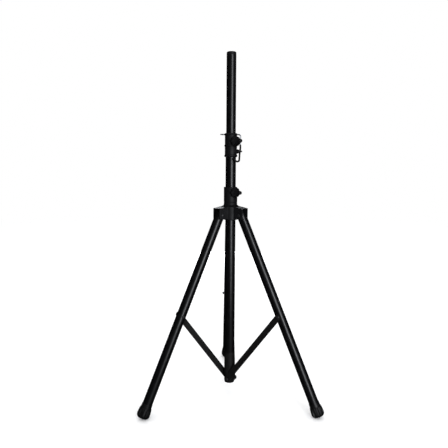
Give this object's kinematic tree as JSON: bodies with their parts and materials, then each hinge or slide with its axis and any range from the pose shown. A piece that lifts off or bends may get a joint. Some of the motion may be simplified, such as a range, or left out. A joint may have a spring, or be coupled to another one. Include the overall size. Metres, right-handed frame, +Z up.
{
  "type": "speaker tripod stand",
  "caption": "Folding tripod floor stand with a telescoping pole for a loudspeaker: sliding leg yoke, braced tube legs, rubber feet, clamp knobs and a locking pin.",
  "frame": {"origin": "on the floor, under the middle of the box around the stand; the column stands 88 mm in front of it", "axes": "+Z up along the column, +Y towards the rear leg's foot, +X to the right seen from the front, where the locking pin's handle is"},
  "size_m": [0.6562, 0.5744, 1.284],
  "materials": {
    "powder_coat": "semi-gloss black powder coat on steel tube",
    "strap_steel": "matte black powder coat on flat steel",
    "black_plastic": "moulded black plastic, fine grain",
    "liner_plastic": "plain grey plastic",
    "rubber": "matte moulded rubber",
    "vinyl": "smooth black vinyl sleeve",
    "zinc_steel": "zinc-plated steel",
    "black_oxide_steel": "black oxide on steel bolts and rivets"
  },
  "bodies": {
    "column": {"outer_tube": "powder_coat", "upper_collar": "black_plastic", "collar_bush": "liner_plastic", "collar_screw": "black_oxide_steel", "lower_bracket": "powder_coat", "bottom_plug": "rubber", "bracket_bolt_left": "black_oxide_steel", "bracket_bolt_right": "black_oxide_steel", "bracket_bolt_rear": "black_oxide_steel"},
    "pole": {"inner_pole": "powder_coat", "pole_end_cap": "black_plastic", "pole_foot_bush": "liner_plastic"},
    "locking_pin": {"locking_pin": "zinc_steel", "pin_sleeve": "vinyl"},
    "upper_pad": {"upper_pad": "liner_plastic"},
    "upper_knob": {"upper_knob": "black_plastic", "upper_stud": "zinc_steel"},
    "yoke": {"yoke": "black_plastic", "yoke_bush": "liner_plastic", "leg_pin_left": "black_oxide_steel", "leg_pin_right": "black_oxide_steel", "leg_pin_rear": "black_oxide_steel"},
    "lower_pad": {"lower_pad": "liner_plastic"},
    "lower_knob": {"lower_knob": "black_plastic", "lower_stud": "zinc_steel"},
    "leg_left": {"leg_tube_left": "powder_coat", "leg_top_plug_left": "black_plastic", "foot_left": "rubber", "brace_washer_left": "powder_coat", "brace_nut_left": "black_oxide_steel"},
    "leg_right": {"leg_tube_right": "powder_coat", "leg_top_plug_right": "black_plastic", "foot_right": "rubber", "brace_washer_right": "powder_coat", "brace_nut_right": "black_oxide_steel"},
    "leg_rear": {"leg_tube_rear": "powder_coat", "leg_top_plug_rear": "black_plastic", "foot_rear": "rubber", "brace_washer_rear": "powder_coat", "brace_nut_rear": "black_oxide_steel"},
    "brace_left": {"brace_left": "strap_steel", "brace_bolt_left": "black_oxide_steel"},
    "brace_right": {"brace_right": "strap_steel", "brace_bolt_right": "black_oxide_steel"},
    "brace_rear": {"brace_rear": "strap_steel", "brace_bolt_rear": "black_oxide_steel"}
  },
  "joints": [
    {"name": "pole_slide", "type": "slide", "parent": "column", "child": "pole", "axis": [0, 0, 1], "range_m": [0, 0.48]},
    {"name": "pin_pull", "type": "slide", "parent": "column", "child": "locking_pin", "axis": [1, 0, 0], "range_m": [0, 0.075]},
    {"name": "upper_pad_slide", "type": "slide", "parent": "column", "child": "upper_pad", "axis": [0.5592, -0.829, 0], "range_m": [0, 0.0026]},
    {"name": "upper_knob_turn", "type": "hinge", "parent": "upper_pad", "child": "upper_knob", "pos_m": [0, -0.08791, 0.968], "axis": [0.5592, -0.829, 0], "range_deg": [0, 720]},
    {"name": "yoke_slide", "type": "slide", "parent": "column", "child": "yoke", "axis": [0, 0, 1], "range_m": [0, 0.0865]},
    {"name": "lower_pad_slide", "type": "slide", "parent": "yoke", "child": "lower_pad", "axis": [0.5592, -0.829, 0], "range_m": [0, 0.0026]},
    {"name": "lower_knob_turn", "type": "hinge", "parent": "lower_pad", "child": "lower_knob", "pos_m": [0, -0.08791, 0.783], "axis": [0.5592, -0.829, 0], "range_deg": [0, 720]},
    {"name": "leg_left_fold", "type": "hinge", "parent": "yoke", "child": "leg_left", "pos_m": [-0.03966, -0.11081, 0.7], "axis": [0.5, -0.866, 0], "range_deg": [0, 17.5]},
    {"name": "leg_right_fold", "type": "hinge", "parent": "yoke", "child": "leg_right", "pos_m": [0.03966, -0.11081, 0.7], "axis": [0.5, 0.866, 0], "range_deg": [0, 17.5]},
    {"name": "leg_rear_fold", "type": "hinge", "parent": "yoke", "child": "leg_rear", "pos_m": [0, -0.04211, 0.7], "axis": [-1, 0, 0], "range_deg": [0, 17.5]},
    {"name": "brace_left_fold", "type": "hinge", "parent": "column", "child": "brace_left", "pos_m": [0, -0.08791, 0.066], "axis": [-0.5, 0.866, 0], "range_deg": [0, 21.08]},
    {"name": "brace_right_fold", "type": "hinge", "parent": "column", "child": "brace_right", "pos_m": [0, -0.08791, 0.066], "axis": [-0.5, -0.866, 0], "range_deg": [0, 21.08]},
    {"name": "brace_rear_fold", "type": "hinge", "parent": "column", "child": "brace_rear", "pos_m": [0, -0.08791, 0.066], "axis": [1, 0, 0], "range_deg": [0, 21.08]}
  ],
  "couplings": [
    {"joint": "leg_left_fold", "follows": "yoke_slide", "rad_per_m": 3.5291},
    {"joint": "leg_right_fold", "follows": "yoke_slide", "rad_per_m": 3.5291},
    {"joint": "leg_rear_fold", "follows": "yoke_slide", "rad_per_m": 3.5291},
    {"joint": "brace_left_fold", "follows": "yoke_slide", "rad_per_m": 4.2505},
    {"joint": "brace_right_fold", "follows": "yoke_slide", "rad_per_m": 4.2505},
    {"joint": "brace_rear_fold", "follows": "yoke_slide", "rad_per_m": 4.2505},
    {"joint": "upper_pad_slide", "follows": "upper_knob_turn", "m_per_rad": 0.000199},
    {"joint": "lower_pad_slide", "follows": "lower_knob_turn", "m_per_rad": 0.000199}
  ]
}
